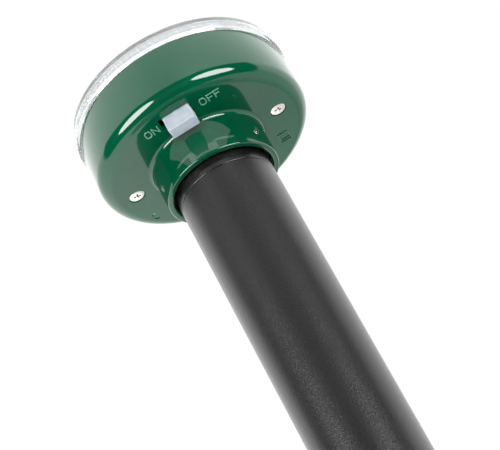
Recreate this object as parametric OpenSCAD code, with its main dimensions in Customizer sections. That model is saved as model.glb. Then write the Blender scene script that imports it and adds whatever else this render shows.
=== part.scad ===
// Solar stake repeller for burrowing pests. A round head holds a solar panel under a clear
// window, a battery pack, a driver board and a slide switch. It sits on a tube with a
// speaker inside, and a pointed plug at the tube's foot goes into the ground.
// Z is up, the tip of the spike is at the origin, and the switch is on the -Y side.

/* [Stake] */
// Outer diameter of the stake tube
tube_d = 50; // [49:0.5:51]
// Wall thickness of the stake tube
tube_wall = 1.5; // [1.2:0.1:1.8]
// Length of the stake tube
tube_len = 240; // [200:5:300]
// Length of the spike below the tube
spike_len = 38; // [34:1:60]
// Height of the speaker's face above the spike's tip
speaker_z = 97; // [80:1:120]

/* [Head] */
// Outer diameter of the head shell
shell_d = 112.4; // [110:0.2:116]
// Height of the head shell from its underside to its rim
shell_h = 30.6; // [30:0.1:34]
// Wall thickness of the head shell
shell_wall = 2.5; // [2.2:0.1:2.8]
// Radius of the rounded shoulder between side and underside
shoulder_r = 6.6; // [5:0.1:8]
// Depth of the collar below the underside
collar_h = 20.7; // [19:0.1:22]
// Outer diameter of the collar
collar_d = 59.2; // [58:0.2:60]
// Inner diameter of the collar
collar_bore_d = 53.3; // [53:0.1:54]
// Distance from the head's underside down to the top edge of the tube
neck_h = 26.4; // [25:0.1:30]

/* [Window] */
// Outer diameter of the clear window at its rim
window_d = 114.4; // [112:0.2:118]
// Height of the window above the shell's rim
window_h = 8.7; // [8.4:0.1:10]
// Wall thickness of the window
window_wall = 1.8; // [1.5:0.1:2]

/* [Screws] */
// Distance of the two head screws from the axis
head_screw_x = 41; // [40:0.5:42]
// Diameter of the head screws' countersunk heads
head_screw_d = 8.2; // [7:0.1:8.4]
// Angles of the collar screws, counted from the switch side
collar_screw_angles = [-65, 65, 180];
// Depth of the collar screws below the underside
collar_screw_depth = 12.2; // [11:0.1:13]

/* [Switch] */
// Length of the slot along the switch's travel
slot_w = 17.4; // [17:0.1:18]
// Width of the slot across the travel
slot_t = 9; // [8.8:0.1:9.4]
// Length of the cap along the travel
cap_w = 14.6; // [14:0.1:14.7]
// Width of the cap across the travel
cap_t = 8.2; // [7.8:0.1:8.3]
// How far the cap stands out of the underside
cap_out = 8; // [5:0.1:9]
// Travel of the switch from off to on
switch_travel = 2.1; // [1.5:0.1:2.2]
// Distance of the switch from the axis
switch_y = 40.8; // [40.5:0.1:41]

/* [Power] */
// Number of battery cells side by side
cell_count = 4; // [2:2:4]
// Diameter of a battery cell
cell_d = 14.5; // [10.5:0.1:14.5]
// Overall length of a battery cell with its button
cell_len = 50.5; // [44.5:0.1:50.5]
// Side of the square solar board
panel_side = 64; // [56:1:64]
// Number of solar cell strips
strip_count = 10; // [6:2:10]

/* [Hidden] */
$fn = 96;

tube_r = tube_d / 2;
tube_bore_r = tube_r - tube_wall;
joint_z = spike_len + tube_len;
under_z = joint_z + neck_h;
rim_z = under_z + shell_h;
shell_r = shell_d / 2;
shell_in_r = shell_r - shell_wall;
collar_r = collar_d / 2;
collar_bore_r = collar_bore_d / 2;
floor_t = 2.5;
lip_r = 22;
window_r = window_d / 2;
press_gap = 0.1;

// Heights above the head's underside
boss_top = 8.5;
switch_plate_z = 5;
switch_plate_t = 0.8;
tray_z = 4;
tray_t = 1.5;
cell_z = tray_z + tray_t + 0.2 + cell_d / 2;
board_t = 1.6;
board_z = shell_h - 5 - board_t;
carrier_z = shell_h + 0.5;
carrier_t = 2;
tape_t = 0.5;
solar_z = carrier_z + carrier_t + tape_t;

// The slot's left end is fixed by the on position, its right end by the off position
slot_x = -1;
lever_mid_x = -switch_travel / 2;
pack_y = 12;
pack_pitch = cell_d + 0.3;
strap_screw_x = 35.5;
board_hole_x = 32.5;
board_holes_y = [-26.5, 18.5];

// Points of an arc from angle a0 to a1
function arc(cx, cy, r, a0, a1, n = 8) =
    [for (i = [0:n]) let (a = a0 + (a1 - a0) * i / n) [cx + r * cos(a), cy + r * sin(a)]];

// Ring of rectangular section standing on z = 0
module ring(h, outer_r, inner_r) {
    difference() {
        cylinder(h = h, r = outer_r);
        translate([0, 0, -1]) cylinder(h = h + 2, r = inner_r);
    }
}

// Plate centred in x and y and standing on z = 0
module plate(x, y, h) {
    translate([-x / 2, -y / 2, 0]) cube([x, y, h]);
}

// Pan-head screw: the head stands on z = 0 and the shank points down
module pan_screw(head_r, head_h, shank_r, length) {
    difference() {
        rotate_extrude() polygon(concat(
            [[0, -length], [shank_r, -length], [shank_r, 0], [head_r, 0]],
            arc(head_r - head_h * 0.8, head_h * 0.2, head_h * 0.8, 0, 90, 4),
            [[0, head_h]]
        ));
        for (a = [0, 90]) {
            rotate([0, 0, a]) translate([0, 0, head_h * 0.45]) plate(head_r * 1.1, head_r * 0.26, 5);
        }
    }
}

// Smooth route through hand-chosen points
function curve_at(p, i, t) =
    let (
        a = p[max(i - 1, 0)],
        b = p[i],
        c = p[i + 1],
        d = p[min(i + 2, len(p) - 1)]
    )
    0.5 * (2 * b + (c - a) * t + (2 * a - 5 * b + 4 * c - d) * t * t
        + (3 * b - a - 3 * c + d) * t * t * t);
function route(p, steps) = concat(
    [for (i = [0:len(p) - 2], k = [0:steps - 1]) curve_at(p, i, k / steps)],
    [p[len(p) - 1]]
);
function unit(v) = v / norm(v);

// Insulated lead: a tube with six sides swept along a route that never runs along "away"
module lead(points, r, steps = 3, away = [1, 0.15, 0.1]) {
    sides = 6;
    q = route(points, steps);
    last = len(q) - 1;
    rings = [for (i = [0:last])
        let (
            along = unit(q[min(i + 1, last)] - q[max(i - 1, 0)]),
            side = unit(cross(along, away)),
            other = cross(along, side)
        )
        for (k = [0:sides - 1])
            q[i] + r * (cos(360 * k / sides) * side + sin(360 * k / sides) * other)
    ];
    walls = [for (i = [0:last - 1], k = [0:sides - 1])
        [
            i * sides + k,
            i * sides + (k + 1) % sides,
            (i + 1) * sides + (k + 1) % sides,
            (i + 1) * sides + k
        ]
    ];
    first_end = [[for (k = [0:sides - 1]) sides - 1 - k]];
    far_end = [[for (k = [0:sides - 1]) last * sides + k]];
    polyhedron(rings, concat(walls, first_end, far_end));
}

// Stadium-shaped outline, taller than wide
module stadium(w, h) {
    for (s = [-1, 1]) translate([0, s * (h - w) / 2]) circle(d = w);
    square([w, h - w], center = true);
}

letter_w = 3.75;
letter_h = 5.9;
letter_s = 0.8;
letter_raise = 0.4;

module letter_o() {
    difference() {
        linear_extrude(letter_raise + 0.2) stadium(letter_w, letter_h);
        translate([0, 0, -1]) linear_extrude(3) stadium(letter_w - 2 * letter_s, letter_h - 2 * letter_s);
    }
}

module letter_n() {
    w = letter_w / 2;
    h = letter_h / 2;
    s = letter_s;
    linear_extrude(letter_raise + 0.2) polygon([
        [-w, -h], [-w + s, -h], [-w + s, h - 2.2], [w - s, -h], [w, -h],
        [w, h], [w - s, h], [w - s, 2.2 - h], [-w + s, h], [-w, h]
    ]);
}

module letter_f() {
    w = letter_w / 2;
    h = letter_h / 2;
    s = letter_s;
    linear_extrude(letter_raise + 0.2) polygon([
        [-w, -h], [-w + s, -h], [-w + s, -s / 2], [w - 0.7, -s / 2], [w - 0.7, s / 2],
        [-w + s, s / 2], [-w + s, h - s], [w, h - s], [w, h], [-w, h]
    ]);
}

// Places a letter on the underside so that it reads from below, with its top outwards
module on_underside(x) {
    translate([x, -39.7, under_z - letter_raise]) mirror([0, 1, 0]) children();
}

module head_shell() {
    rim_round = 0.5;
    edge_r = 0.8;
    base_r = 1.5;
    inner_fillet = shoulder_r - shell_wall;
    profile = concat(
        [[lip_r, 0], [collar_bore_r, 0]],
        arc(collar_bore_r + rim_round, rim_round - collar_h, rim_round, 180, 270, 4),
        arc(collar_r - edge_r, edge_r - collar_h, edge_r, 270, 360, 4),
        arc(collar_r + base_r, -base_r, base_r, 180, 90, 5),
        arc(shell_r - shoulder_r, shoulder_r, shoulder_r, 270, 360, 12),
        [[shell_r - 0.1, shell_h - rim_round], [shell_r - 0.1 - rim_round, shell_h], [shell_in_r, shell_h]],
        arc(shell_in_r - inner_fillet, floor_t + inner_fillet, inner_fillet, 360, 270, 6),
        [[lip_r, floor_t]]
    );
    color([0.0, 0.35, 0.24]) {
        difference() {
            union() {
                translate([0, 0, under_z]) rotate_extrude() polygon(profile);
                translate([0, 0, under_z + floor_t - 0.5]) {
                    for (s = [-1, 1]) {
                        translate([s * head_screw_x, 0, 0]) cylinder(h = boss_top - floor_t + 0.5, r = 5);
                        translate([lever_mid_x + s * 14, -switch_y, 0])
                            cylinder(h = switch_plate_z - floor_t + 0.5, r = 2.6);
                        translate([s * strap_screw_x, pack_y, 0])
                            cylinder(h = tray_z - floor_t + 0.5, r = 2.8);
                    }
                }
            }
            // Countersinks and clearance holes for the head screws
            for (s = [-1, 1]) translate([s * head_screw_x, 0, under_z]) {
                translate([0, 0, -1]) cylinder(h = boss_top + 2, r = 2.15);
                translate([0, 0, -1]) cylinder(h = 1.4, r = head_screw_d / 2 + 0.25);
                translate([0, 0, 0.4]) cylinder(h = 2.1, r1 = head_screw_d / 2 + 0.05, r2 = 2.15);
            }
            // Pilot holes for the switch screws and the strap screws
            for (s = [-1, 1]) {
                translate([lever_mid_x + s * 14, -switch_y, under_z + 1]) cylinder(h = 5, r = 0.97);
                translate([s * strap_screw_x, pack_y, under_z + 1]) cylinder(h = 5, r = 0.97);
            }
            // Slot for the switch cap
            translate([slot_x, -switch_y, under_z - 1]) plate(slot_w, slot_t, floor_t + 2);
            // Counterbored holes for the collar screws
            for (a = collar_screw_angles) {
                rotate([0, 0, a]) translate([0, -collar_r, under_z - collar_screw_depth]) {
                    rotate([-90, 0, 0]) translate([0, 0, -1]) cylinder(h = 5, r = 1.15);
                    rotate([-90, 0, 0]) translate([0, 0, -1]) cylinder(h = 2.1, r = 1.85);
                }
            }
        }
        on_underside(-17.2) letter_o();
        on_underside(-13) letter_n();
        on_underside(13.5) letter_o();
        on_underside(17.8) letter_f();
        on_underside(21.6) letter_f();
        // Plain mould marks: a broken ring and a square outline over a bar
        translate([-39.3, 23.7, under_z - letter_raise]) difference() {
            ring(letter_raise + 0.2, 3.1, 2.5);
            translate([0, -4, -1]) cube([8, 8, 3]);
        }
        translate([36.2, 21.8, under_z - letter_raise]) {
            difference() {
                plate(5.6, 5.6, letter_raise + 0.2);
                translate([0, 0, -1]) plate(4.4, 4.4, 3);
            }
            translate([0, 4.6, 0]) plate(5.6, 0.9, letter_raise + 0.2);
        }
    }
}

module top_window() {
    edge_r = 2;
    lean = 1.2;
    spigot_r = shell_in_r - press_gap - 0.1;
    spigot_in_r = spigot_r - 3.1;
    spigot_h = 3.6;
    top = window_h;
    under_top = window_h - window_wall;
    outer_top_r = window_r - lean;
    inner_top_r = outer_top_r - window_wall;
    profile = concat(
        [[0, under_top], [inner_top_r - 1, under_top], [inner_top_r, under_top - 1], [spigot_in_r, 1]],
        [[spigot_in_r, -spigot_h], [spigot_r, -spigot_h]],
        [[spigot_r, -2.75], [spigot_r - 1.6, -2.75], [spigot_r - 1.6, -0.85], [spigot_r, -0.85], [spigot_r, 0]],
        arc(window_r - 0.6, 0.6, 0.6, 270, 360, 4),
        arc(outer_top_r - edge_r, top - edge_r, edge_r, 0, 90, 8),
        [[0, top]]
    );
    post_len = shell_h + under_top - boss_top;
    color([0.85, 0.92, 0.93, 0.35]) difference() {
        union() {
            translate([0, 0, rim_z]) rotate_extrude() polygon(profile);
            for (s = [-1, 1]) translate([s * head_screw_x, 0, under_z + boss_top])
                cylinder(h = post_len + 0.5, r = 3.5);
        }
        for (s = [-1, 1]) translate([s * head_screw_x, 0, under_z + boss_top - 1]) cylinder(h = 15, r = 1.75);
    }
}

module window_seal() {
    section_r = 0.8;
    color([0.12, 0.12, 0.13]) translate([0, 0, rim_z - 1.8]) rotate_extrude()
        translate([shell_in_r - 0.05 - section_r, 0]) circle(r = section_r, $fn = 32);
}

module panel_carrier() {
    plate_r = 48.5;
    frame_in = panel_side + 0.4;
    color([0.93, 0.93, 0.92]) translate([0, 0, under_z + carrier_z]) difference() {
        union() {
            cylinder(h = carrier_t, r = plate_r);
            difference() {
                plate(frame_in + 3, frame_in + 3, carrier_t + 2.2);
                translate([0, 0, carrier_t]) plate(frame_in, frame_in, 5);
            }
            for (s = [-1, 1]) {
                translate([s * head_screw_x, 0, -4]) cylinder(h = 5, r = 5.4);
                for (y = board_holes_y) {
                    translate([s * board_hole_x, y, -5.5]) cylinder(h = 6, r = 2.6);
                }
            }
        }
        for (s = [-1, 1]) {
            translate([s * head_screw_x, 0, -5]) cylinder(h = 10, r = 3.55);
            for (y = board_holes_y) {
                translate([s * board_hole_x, y, -6]) cylinder(h = 6.5, r = 0.97);
            }
        }
        translate([0, 26, -1]) cylinder(h = 5, r = 3);
    }
}

module panel_tape() {
    place = panel_side / 2 - 8;
    color([0.95, 0.95, 0.9]) for (x = [-place, place], y = [-place, place])
        translate([x, y, under_z + carrier_z + carrier_t]) plate(10, 10, tape_t);
}

module solar_board() {
    color([0.9, 0.92, 0.9]) translate([0, 0, under_z + solar_z]) plate(panel_side, panel_side, board_t);
}

strip_pitch = (panel_side - 3) / strip_count;

module each_strip() {
    for (i = [0:strip_count - 1])
        translate([(i - (strip_count - 1) / 2) * strip_pitch, 0, under_z + solar_z + board_t]) children();
}

module solar_cells() {
    color([0.05, 0.08, 0.25]) each_strip() plate(strip_pitch - 0.35, panel_side - 6, 0.25);
}

module cell_ribbons() {
    color([0.8, 0.82, 0.84]) each_strip() translate([0, 0, 0.25]) plate(0.9, panel_side - 6, 0.1);
}

module head_screws() {
    head_r = head_screw_d / 2;
    color([0.8, 0.8, 0.78]) for (s = [-1, 1]) translate([s * head_screw_x, 0, under_z]) difference() {
        rotate_extrude() polygon([
            [0, 0.15], [head_r - 1, 0.2], [head_r, 0.45], [1.9, 2.5], [1.7, 2.6], [1.7, 19], [0, 21]
        ]);
        for (a = [20, 110]) rotate([0, 0, a]) translate([0, 0, -1]) plate(4.4, 0.9, 2.4);
    }
}

module main_board() {
    color([0.1, 0.4, 0.2]) translate([0, -4, under_z + board_z]) difference() {
        plate(70, 52, board_t);
        for (s = [-1, 1], y = board_holes_y) translate([s * board_hole_x, y + 4, -1]) cylinder(h = 4, r = 1.1);
    }
}

module board_screws() {
    color([0.75, 0.75, 0.74]) for (s = [-1, 1], y = board_holes_y)
        translate([s * board_hole_x, y, under_z + board_z]) mirror([0, 0, 1]) pan_screw(1.9, 1.2, 0.95, 6);
}

module driver_chip() {
    color([0.1, 0.1, 0.11]) translate([8, -19.5, under_z + board_z - 1.7]) {
        plate(5, 4, 1.5);
        for (i = [-1.5:1:1.5], s = [-1, 1]) {
            translate([i * 1.27, s * 2.4, 0.6]) plate(0.4, 0.9, 0.2);
            translate([i * 1.27, s * 2.95, 0.6]) plate(0.4, 0.2, 1.1);
        }
    }
}

module capacitors() {
    color([0.15, 0.2, 0.35]) for (x = [-16, -8.5])
        translate([x, -21.8, under_z + board_z - 7]) rotate_extrude() polygon([
            [0, 0], [2.7, 0], [3.15, 0.4], [3.15, 5.7], [2.85, 5.9], [2.85, 6.2], [3.15, 6.4], [3.15, 7], [0, 7]
        ]);
}

module resistors() {
    color([0.2, 0.2, 0.2]) for (i = [0:5])
        translate([i * 5 - 12.5, -12.5, under_z + board_z - 0.6]) plate(3.2, 1.6, 0.6);
}

module boost_inductor() {
    color([0.25, 0.22, 0.2]) translate([18, -20.5, under_z + board_z - 5]) rotate_extrude() polygon([
        [0, 0], [4, 0], [4, 1], [3, 1.3], [3, 3.7], [4, 4], [4, 5], [0, 5]
    ]);
}

socket_x = [-25, -2, 8, 25];
socket_y = -28;
socket_h = 4.5;

module lead_sockets() {
    color([0.92, 0.92, 0.88]) for (x = socket_x) translate([x, socket_y, under_z + board_z - socket_h])
        difference() {
            plate(6, 3, socket_h);
            translate([0, 0, -1]) plate(4.6, 1.9, 4);
        }
}

module switch_body() {
    can_in_h = 4;
    color([0.72, 0.73, 0.74]) translate([lever_mid_x, -switch_y, under_z + switch_plate_z]) difference() {
        union() {
            plate(34, 8, switch_plate_t);
            translate([0, 0, switch_plate_t / 2]) plate(18, 8, switch_plate_t / 2 + 6);
        }
        translate([0, 0, switch_plate_t]) plate(12, 6, can_in_h);
        translate([0, 0, -1]) plate(7.4, 4.4, 3);
        for (s = [-1, 1]) translate([s * 14, 0, -1]) cylinder(h = 3, r = 1.1);
    }
}

module switch_terminals() {
    color([0.8, 0.8, 0.75]) for (i = [-1:1])
        translate([lever_mid_x + i * 4, -switch_y, under_z + switch_plate_z + switch_plate_t + 6])
            plate(0.9, 0.4, 3.5);
}

module switch_screws() {
    color([0.75, 0.75, 0.74]) for (s = [-1, 1])
        translate([lever_mid_x + s * 14, -switch_y, under_z + switch_plate_z + switch_plate_t])
            pan_screw(1.9, 1.2, 0.95, 4.6);
}

lever_w = 4;
lever_t = 3.6;

module switch_lever() {
    color([0.15, 0.15, 0.16]) translate([0, -switch_y, under_z]) {
        translate([0, 0, 6.2]) plate(8, 5.2, 3);
        translate([0, 0, -3]) plate(lever_w, lever_t, 10);
    }
}

module switch_cap() {
    wall = 1.5;
    edge = 0.7;
    top = 4.6;
    h = top + cap_out;
    x = cap_w / 2;
    y = cap_t / 2;
    color([0.86, 0.88, 0.9]) translate([0, -switch_y, under_z - cap_out]) difference() {
        union() {
            difference() {
                linear_extrude(h) polygon(concat(
                    arc(x - edge, y - edge, edge, 0, 90, 3),
                    arc(edge - x, y - edge, edge, 90, 180, 3),
                    arc(edge - x, edge - y, edge, 180, 270, 3),
                    arc(x - edge, edge - y, edge, 270, 360, 3)
                ));
                translate([0, 0, wall]) plate(cap_w - 2 * wall, cap_t - 2 * wall, h);
            }
            translate([0, 0, 1]) plate(lever_w + 2.4, cap_t - 2, 8);
        }
        translate([0, 0, cap_out - 3.05]) plate(lever_w + 0.04, lever_t + 0.04, h);
    }
}

pack_w = cell_count * pack_pitch;
tray_x = pack_w + 2.4;
tray_y = cell_len + 3.8;

module battery_tray() {
    color([0.14, 0.14, 0.15]) translate([0, pack_y, under_z + tray_z]) {
        plate(tray_x, tray_y, tray_t);
        difference() {
            plate(2 * strap_screw_x + 8, 10, tray_t);
            for (s = [-1, 1]) translate([s * strap_screw_x, 0, -1]) cylinder(h = 4, r = 1.1);
        }
        for (s = [-1, 1]) translate([0, s * (tray_y / 2 - 0.6), 0]) plate(tray_x, 1.2, cell_d * 0.85);
        for (i = [1:cell_count - 1]) {
            translate([(i - cell_count / 2) * pack_pitch, 0, 0]) plate(1.2, cell_len - 6, tray_t + 1.6);
        }
    }
}

module each_cell() {
    for (i = [0:cell_count - 1]) translate([(i - (cell_count - 1) / 2) * pack_pitch, pack_y, under_z + cell_z])
        mirror([0, i % 2, 0]) children();
}

module battery_cells() {
    button_h = 1.2;
    color([0.2, 0.45, 0.3]) each_cell() rotate([90, 0, 0]) translate([0, 0, -cell_len / 2]) rotate_extrude()
        polygon([
            [0, 0], [cell_d / 2 - 0.5, 0], [cell_d / 2, 0.5],
            [cell_d / 2, cell_len - button_h - 0.7], [cell_d / 2 - 0.7, cell_len - button_h],
            [2.7, cell_len - button_h], [2.7, cell_len - 0.2], [2.5, cell_len], [0, cell_len]
        ]);
}

module battery_tabs() {
    color([0.78, 0.78, 0.75]) translate([0, pack_y, under_z + cell_z]) {
        for (s = [-1, 1]) translate([s * pack_pitch, -cell_len / 2 - 0.25, -3]) plate(pack_pitch + 5, 0.25, 6);
        translate([0, cell_len / 2 + 0.25, -3]) plate(pack_pitch + 5, 0.25, 6);
        for (s = [-1, 1]) translate([s * 1.5 * pack_pitch, cell_len / 2 + 0.25, -3]) plate(5, 0.25, 6);
    }
}

module battery_strap() {
    w = 10;
    leg = tray_x / 2 + 0.2;
    foot = tray_z + tray_t;
    top = cell_z + cell_d / 2 + 0.3;
    end = strap_screw_x + 4;
    t = 1;
    color([0.7, 0.71, 0.72]) difference() {
        translate([0, pack_y + w / 2, under_z]) rotate([90, 0, 0]) linear_extrude(w) polygon([
            [-end, foot], [-leg, foot], [-leg, top], [leg, top], [leg, foot], [end, foot],
            [end, foot + t], [leg + t, foot + t], [leg + t, top + t],
            [-leg - t, top + t], [-leg - t, foot + t], [-end, foot + t]
        ]);
        for (s = [-1, 1]) translate([s * strap_screw_x, pack_y, under_z + foot - 1]) cylinder(h = 4, r = 1.1);
    }
}

module strap_screws() {
    color([0.75, 0.75, 0.74]) for (s = [-1, 1])
        translate([s * strap_screw_x, pack_y, under_z + tray_z + tray_t + 1]) pan_screw(1.9, 1.2, 0.95, 5.2);
}

module tube_adapter() {
    body_r = collar_bore_r - press_gap - 0.05;
    bore_r = 21;
    spigot_h = 18;
    seal_z = -4;
    neck_top = 4.7 - collar_h;
    profile = concat(
        [[bore_r, -0.05], [bore_r, -neck_h - spigot_h]],
        [[tube_bore_r - press_gap - 0.5, -neck_h - spigot_h], [tube_bore_r - press_gap, 0.5 - neck_h - spigot_h]],
        [[tube_bore_r - press_gap, -neck_h]],
        arc(tube_r - 0.4, 0.4 - neck_h, 0.4, 270, 360, 4),
        [[tube_r, neck_top - 1], [body_r, neck_top + 0.5]],
        [[body_r, seal_z - 1], [body_r - 1.6, seal_z - 1], [body_r - 1.6, seal_z + 1], [body_r, seal_z + 1]],
        [[body_r, -0.5], [body_r - 0.4, -0.05]]
    );
    color([0.1, 0.1, 0.11]) difference() {
        translate([0, 0, under_z]) rotate_extrude() polygon(profile);
        for (a = collar_screw_angles) rotate([0, 0, a])
            translate([0, -collar_bore_r - 1, under_z - collar_screw_depth])
                rotate([-90, 0, 0]) cylinder(h = 8, r = 0.97);
    }
}

module adapter_seal() {
    section_r = 0.8;
    color([0.12, 0.12, 0.13]) translate([0, 0, under_z - 4]) rotate_extrude()
        translate([collar_bore_r - 0.05 - section_r, 0]) circle(r = section_r, $fn = 32);
}

module collar_screws() {
    color([0.8, 0.8, 0.78]) for (a = collar_screw_angles) rotate([0, 0, a])
        translate([0, 1.1 - collar_r, under_z - collar_screw_depth])
            rotate([90, 0, 0]) pan_screw(1.6, 0.9, 0.95, 7);
}

module stake_tube() {
    edge = 0.4;
    color([0.13, 0.13, 0.14]) translate([0, 0, spike_len]) rotate_extrude() polygon([
        [tube_bore_r, 0], [tube_r - edge, 0], [tube_r, edge],
        [tube_r, tube_len - edge], [tube_r - edge, tube_len], [tube_bore_r, tube_len]
    ]);
}

module ground_spike() {
    plug_r = tube_bore_r - press_gap;
    plug_h = 20;
    flange_h = 4;
    core_r = 8;
    fin_t = 3;
    fin_top = spike_len - flange_h;
    color([0.12, 0.12, 0.13]) {
        difference() {
            union() {
                translate([0, 0, spike_len - flange_h]) cylinder(h = flange_h, r = tube_r);
                translate([0, 0, spike_len - 1]) cylinder(h = plug_h + 1, r = plug_r);
            }
            translate([0, 0, spike_len]) cylinder(h = plug_h + 1, r = plug_r - 2.5);
        }
        cylinder(h = fin_top + 0.5, r1 = 0.6, r2 = core_r);
        for (a = [0, 90]) rotate([90, 0, a]) translate([0, 0, -fin_t / 2]) linear_extrude(fin_t) polygon([
            [-0.6, 0.2], [0.6, 0.2], [tube_r - 2, fin_top - 4], [tube_r - 2, fin_top + 0.5],
            [2 - tube_r, fin_top + 0.5], [2 - tube_r, fin_top - 4]
        ]);
    }
}

speaker_r = 20.6;

module speaker_holder() {
    holder_r = tube_bore_r - press_gap;
    color([0.16, 0.16, 0.17]) translate([0, 0, speaker_z - 5]) difference() {
        cylinder(h = 20, r = holder_r);
        translate([0, 0, -1]) cylinder(h = 22, r = 18.4);
        translate([0, 0, 4]) cylinder(h = 17, r = speaker_r + 0.3);
        // Notch for the speaker leads
        translate([0, -19.5, 9]) plate(8, 4, 12);
    }
}

module speaker_gasket() {
    color([0.2, 0.2, 0.2]) translate([0, 0, speaker_z - 1]) ring(1, speaker_r, 18.4);
}

// The speaker faces down, and heights here count up from its face
gap_outer_r = 5.3;
top_plate_z = 9;

module speaker_basket() {
    color([0.3, 0.31, 0.33]) translate([0, 0, speaker_z]) {
        difference() {
            rotate_extrude() polygon([
                [18.1, 0], [speaker_r, 0], [speaker_r, 1.2], [19.6, 1.2],
                [10.4, top_plate_z + 0.8], [gap_outer_r, top_plate_z + 0.8], [gap_outer_r, top_plate_z],
                [9.6, top_plate_z], [18.1, 1.6]
            ]);
            for (a = [45:90:315]) rotate([0, 0, a]) translate([13.5, 0, 2.4]) plate(6, 8, 5);
        }
        translate([0, -12.5, top_plate_z]) plate(6, 6, 0.8);
    }
}

module speaker_magnet() {
    pole_r = 4.1;
    ring_r = 9.5;
    ring_z = top_plate_z + 0.8;
    color([0.35, 0.35, 0.37]) translate([0, 0, speaker_z]) {
        translate([0, 0, ring_z]) ring(5, ring_r, gap_outer_r);
        translate([0, 0, ring_z + 5]) cylinder(h = 1.5, r = ring_r);
        translate([0, 0, top_plate_z]) cylinder(h = ring_z + 6 - top_plate_z, r = pole_r);
    }
}

module speaker_cone() {
    color([0.22, 0.22, 0.23]) translate([0, 0, speaker_z]) rotate_extrude() polygon([
        [17.3, 0.6], [17.6, 0.6], [17.6, 1], [16.9, 1.1], [5, 7.6], [5, 12.4],
        [4.5, 12.4], [4.5, 7.4], [0, 6], [0, 5.5], [4.6, 6.9], [16.4, 0.6]
    ]);
}

module panel_leads() {
    z = under_z + solar_z - 0.2;
    z_board = under_z + board_z + board_t;
    color([0.7, 0.1, 0.1]) for (x = [-1.6, 1.6])
        lead([[x, 26, z], [x, 26, z - 3], [x, 24, z_board + 2.2], [x, 19, z_board + 0.8]], 0.6);
}

module battery_leads() {
    z = under_z;
    y = pack_y - tray_y / 2 - 1;
    color([0.7, 0.1, 0.1]) {
        lead([
            [-22, y, z + 13], [-23, y - 3, z + 12.5], [-23.7, y - 8, z + 12.5],
            [-23.9, socket_y, z + 16], [-23.9, socket_y, z + board_z - socket_h]
        ], 0.6);
        lead([
            [22, y, z + 9], [20, y - 4, z + 6], [0, -25.5, z + 4.5], [-20, -25.5, z + 8],
            [-26.1, socket_y, z + 14], [-26.1, socket_y, z + board_z - socket_h]
        ], 0.6, away = [1, -1.2, 0]);
    }
}

module switch_leads() {
    z = under_z;
    color([0.85, 0.85, 0.8]) for (i = [0, 1])
        lead([
            [lever_mid_x + i * 4, -switch_y + 0.9, z + 14.5], [lever_mid_x + i * 4, -switch_y + 2.5, z + 17],
            [6 + i * 2.2, -33, z + 16], [6.9 + i * 2.2, socket_y, z + 17],
            [6.9 + i * 2.2, socket_y, z + board_z - socket_h]
        ], 0.6);
}

module speaker_leads() {
    z = under_z;
    start = speaker_z + top_plate_z + 1;
    color([0.15, 0.15, 0.4]) for (s = [-1, 1])
        lead([
            [s * 1.6, -13.5, start], [s * 1.6, -14.5, start + 10], [s * 1.6, -16, 160],
            [s * 1.6, -16, z - 60], [s * 1.6, -17.5, z - 15], [s * 1.6, -18.8, z + 4],
            [s * 1.2 - 2, -24, z + 10], [s * 1.2 - 2, socket_y, z + 15],
            [s * 1.2 - 2, socket_y, z + board_z - socket_h]
        ], 0.6, 2);
}

head_shell();
top_window();
window_seal();
panel_carrier();
panel_tape();
solar_board();
solar_cells();
cell_ribbons();
head_screws();
main_board();
board_screws();
driver_chip();
capacitors();
resistors();
boost_inductor();
lead_sockets();
switch_body();
switch_terminals();
switch_screws();
switch_lever();
switch_cap();
battery_tray();
battery_cells();
battery_tabs();
battery_strap();
strap_screws();
tube_adapter();
adapter_seal();
collar_screws();
stake_tube();
ground_spike();
speaker_holder();
speaker_gasket();
speaker_basket();
speaker_magnet();
speaker_cone();
panel_leads();
battery_leads();
switch_leads();
speaker_leads();
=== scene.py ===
import math

import bpy
from mathutils import Matrix, Vector


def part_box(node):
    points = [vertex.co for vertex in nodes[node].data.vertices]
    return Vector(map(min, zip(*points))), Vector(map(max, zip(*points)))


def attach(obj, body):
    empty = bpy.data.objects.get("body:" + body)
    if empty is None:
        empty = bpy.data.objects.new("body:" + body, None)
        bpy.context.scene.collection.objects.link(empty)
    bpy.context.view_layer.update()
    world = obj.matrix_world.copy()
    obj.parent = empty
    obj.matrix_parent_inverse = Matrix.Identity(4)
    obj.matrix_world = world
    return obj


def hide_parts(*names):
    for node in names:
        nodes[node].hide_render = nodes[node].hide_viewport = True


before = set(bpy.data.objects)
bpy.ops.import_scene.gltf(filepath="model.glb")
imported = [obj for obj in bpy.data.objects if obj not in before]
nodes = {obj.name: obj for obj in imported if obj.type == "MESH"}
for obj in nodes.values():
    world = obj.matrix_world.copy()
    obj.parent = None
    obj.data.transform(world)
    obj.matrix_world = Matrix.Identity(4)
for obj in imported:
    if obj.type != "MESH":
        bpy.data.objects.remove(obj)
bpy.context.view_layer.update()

# ---- Head shell -----------------------------------------------------------------------------------
# The round head and the collar under it are one moulding in green ABS from a polished mould. ON, OFF and
# two plain mould marks stand up from the underside beside the switch's slot. Two bosses inside carry the
# window's posts, and four small ones the switch and the battery strap.
MM = 0.001
SIDES = 192

# Sizes are in millimetres and heights are above the flat underside, which is itself at under_z metres
shell_low, shell_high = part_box("head_shell")
shell_r = shell_high.x / MM
collar_h = 20.7
under_z = shell_low.z + collar_h * MM
shell_h = (shell_high.z - under_z) / MM
wall_t = 2.5
shell_in_r = shell_r - wall_t
floor_t = 2.5
lip_r = 22
shoulder_r = 6.6
side_x = shell_r - shoulder_r
collar_r = 29.6
collar_bore_r = 26.65
root_r = 2.1
screw_x = 41
pilot_r = 0.97
collar_screw_angles = [-65, 65, 180]
collar_screw_h = 12.2
slot_size = (17.4, 9, 12)
slot_x = -1
switch_y = -40.8
switch_mid_x = -1.05
switch_screw_x = 14
strap_screw_x = 35.5
pack_y = 12


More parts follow.
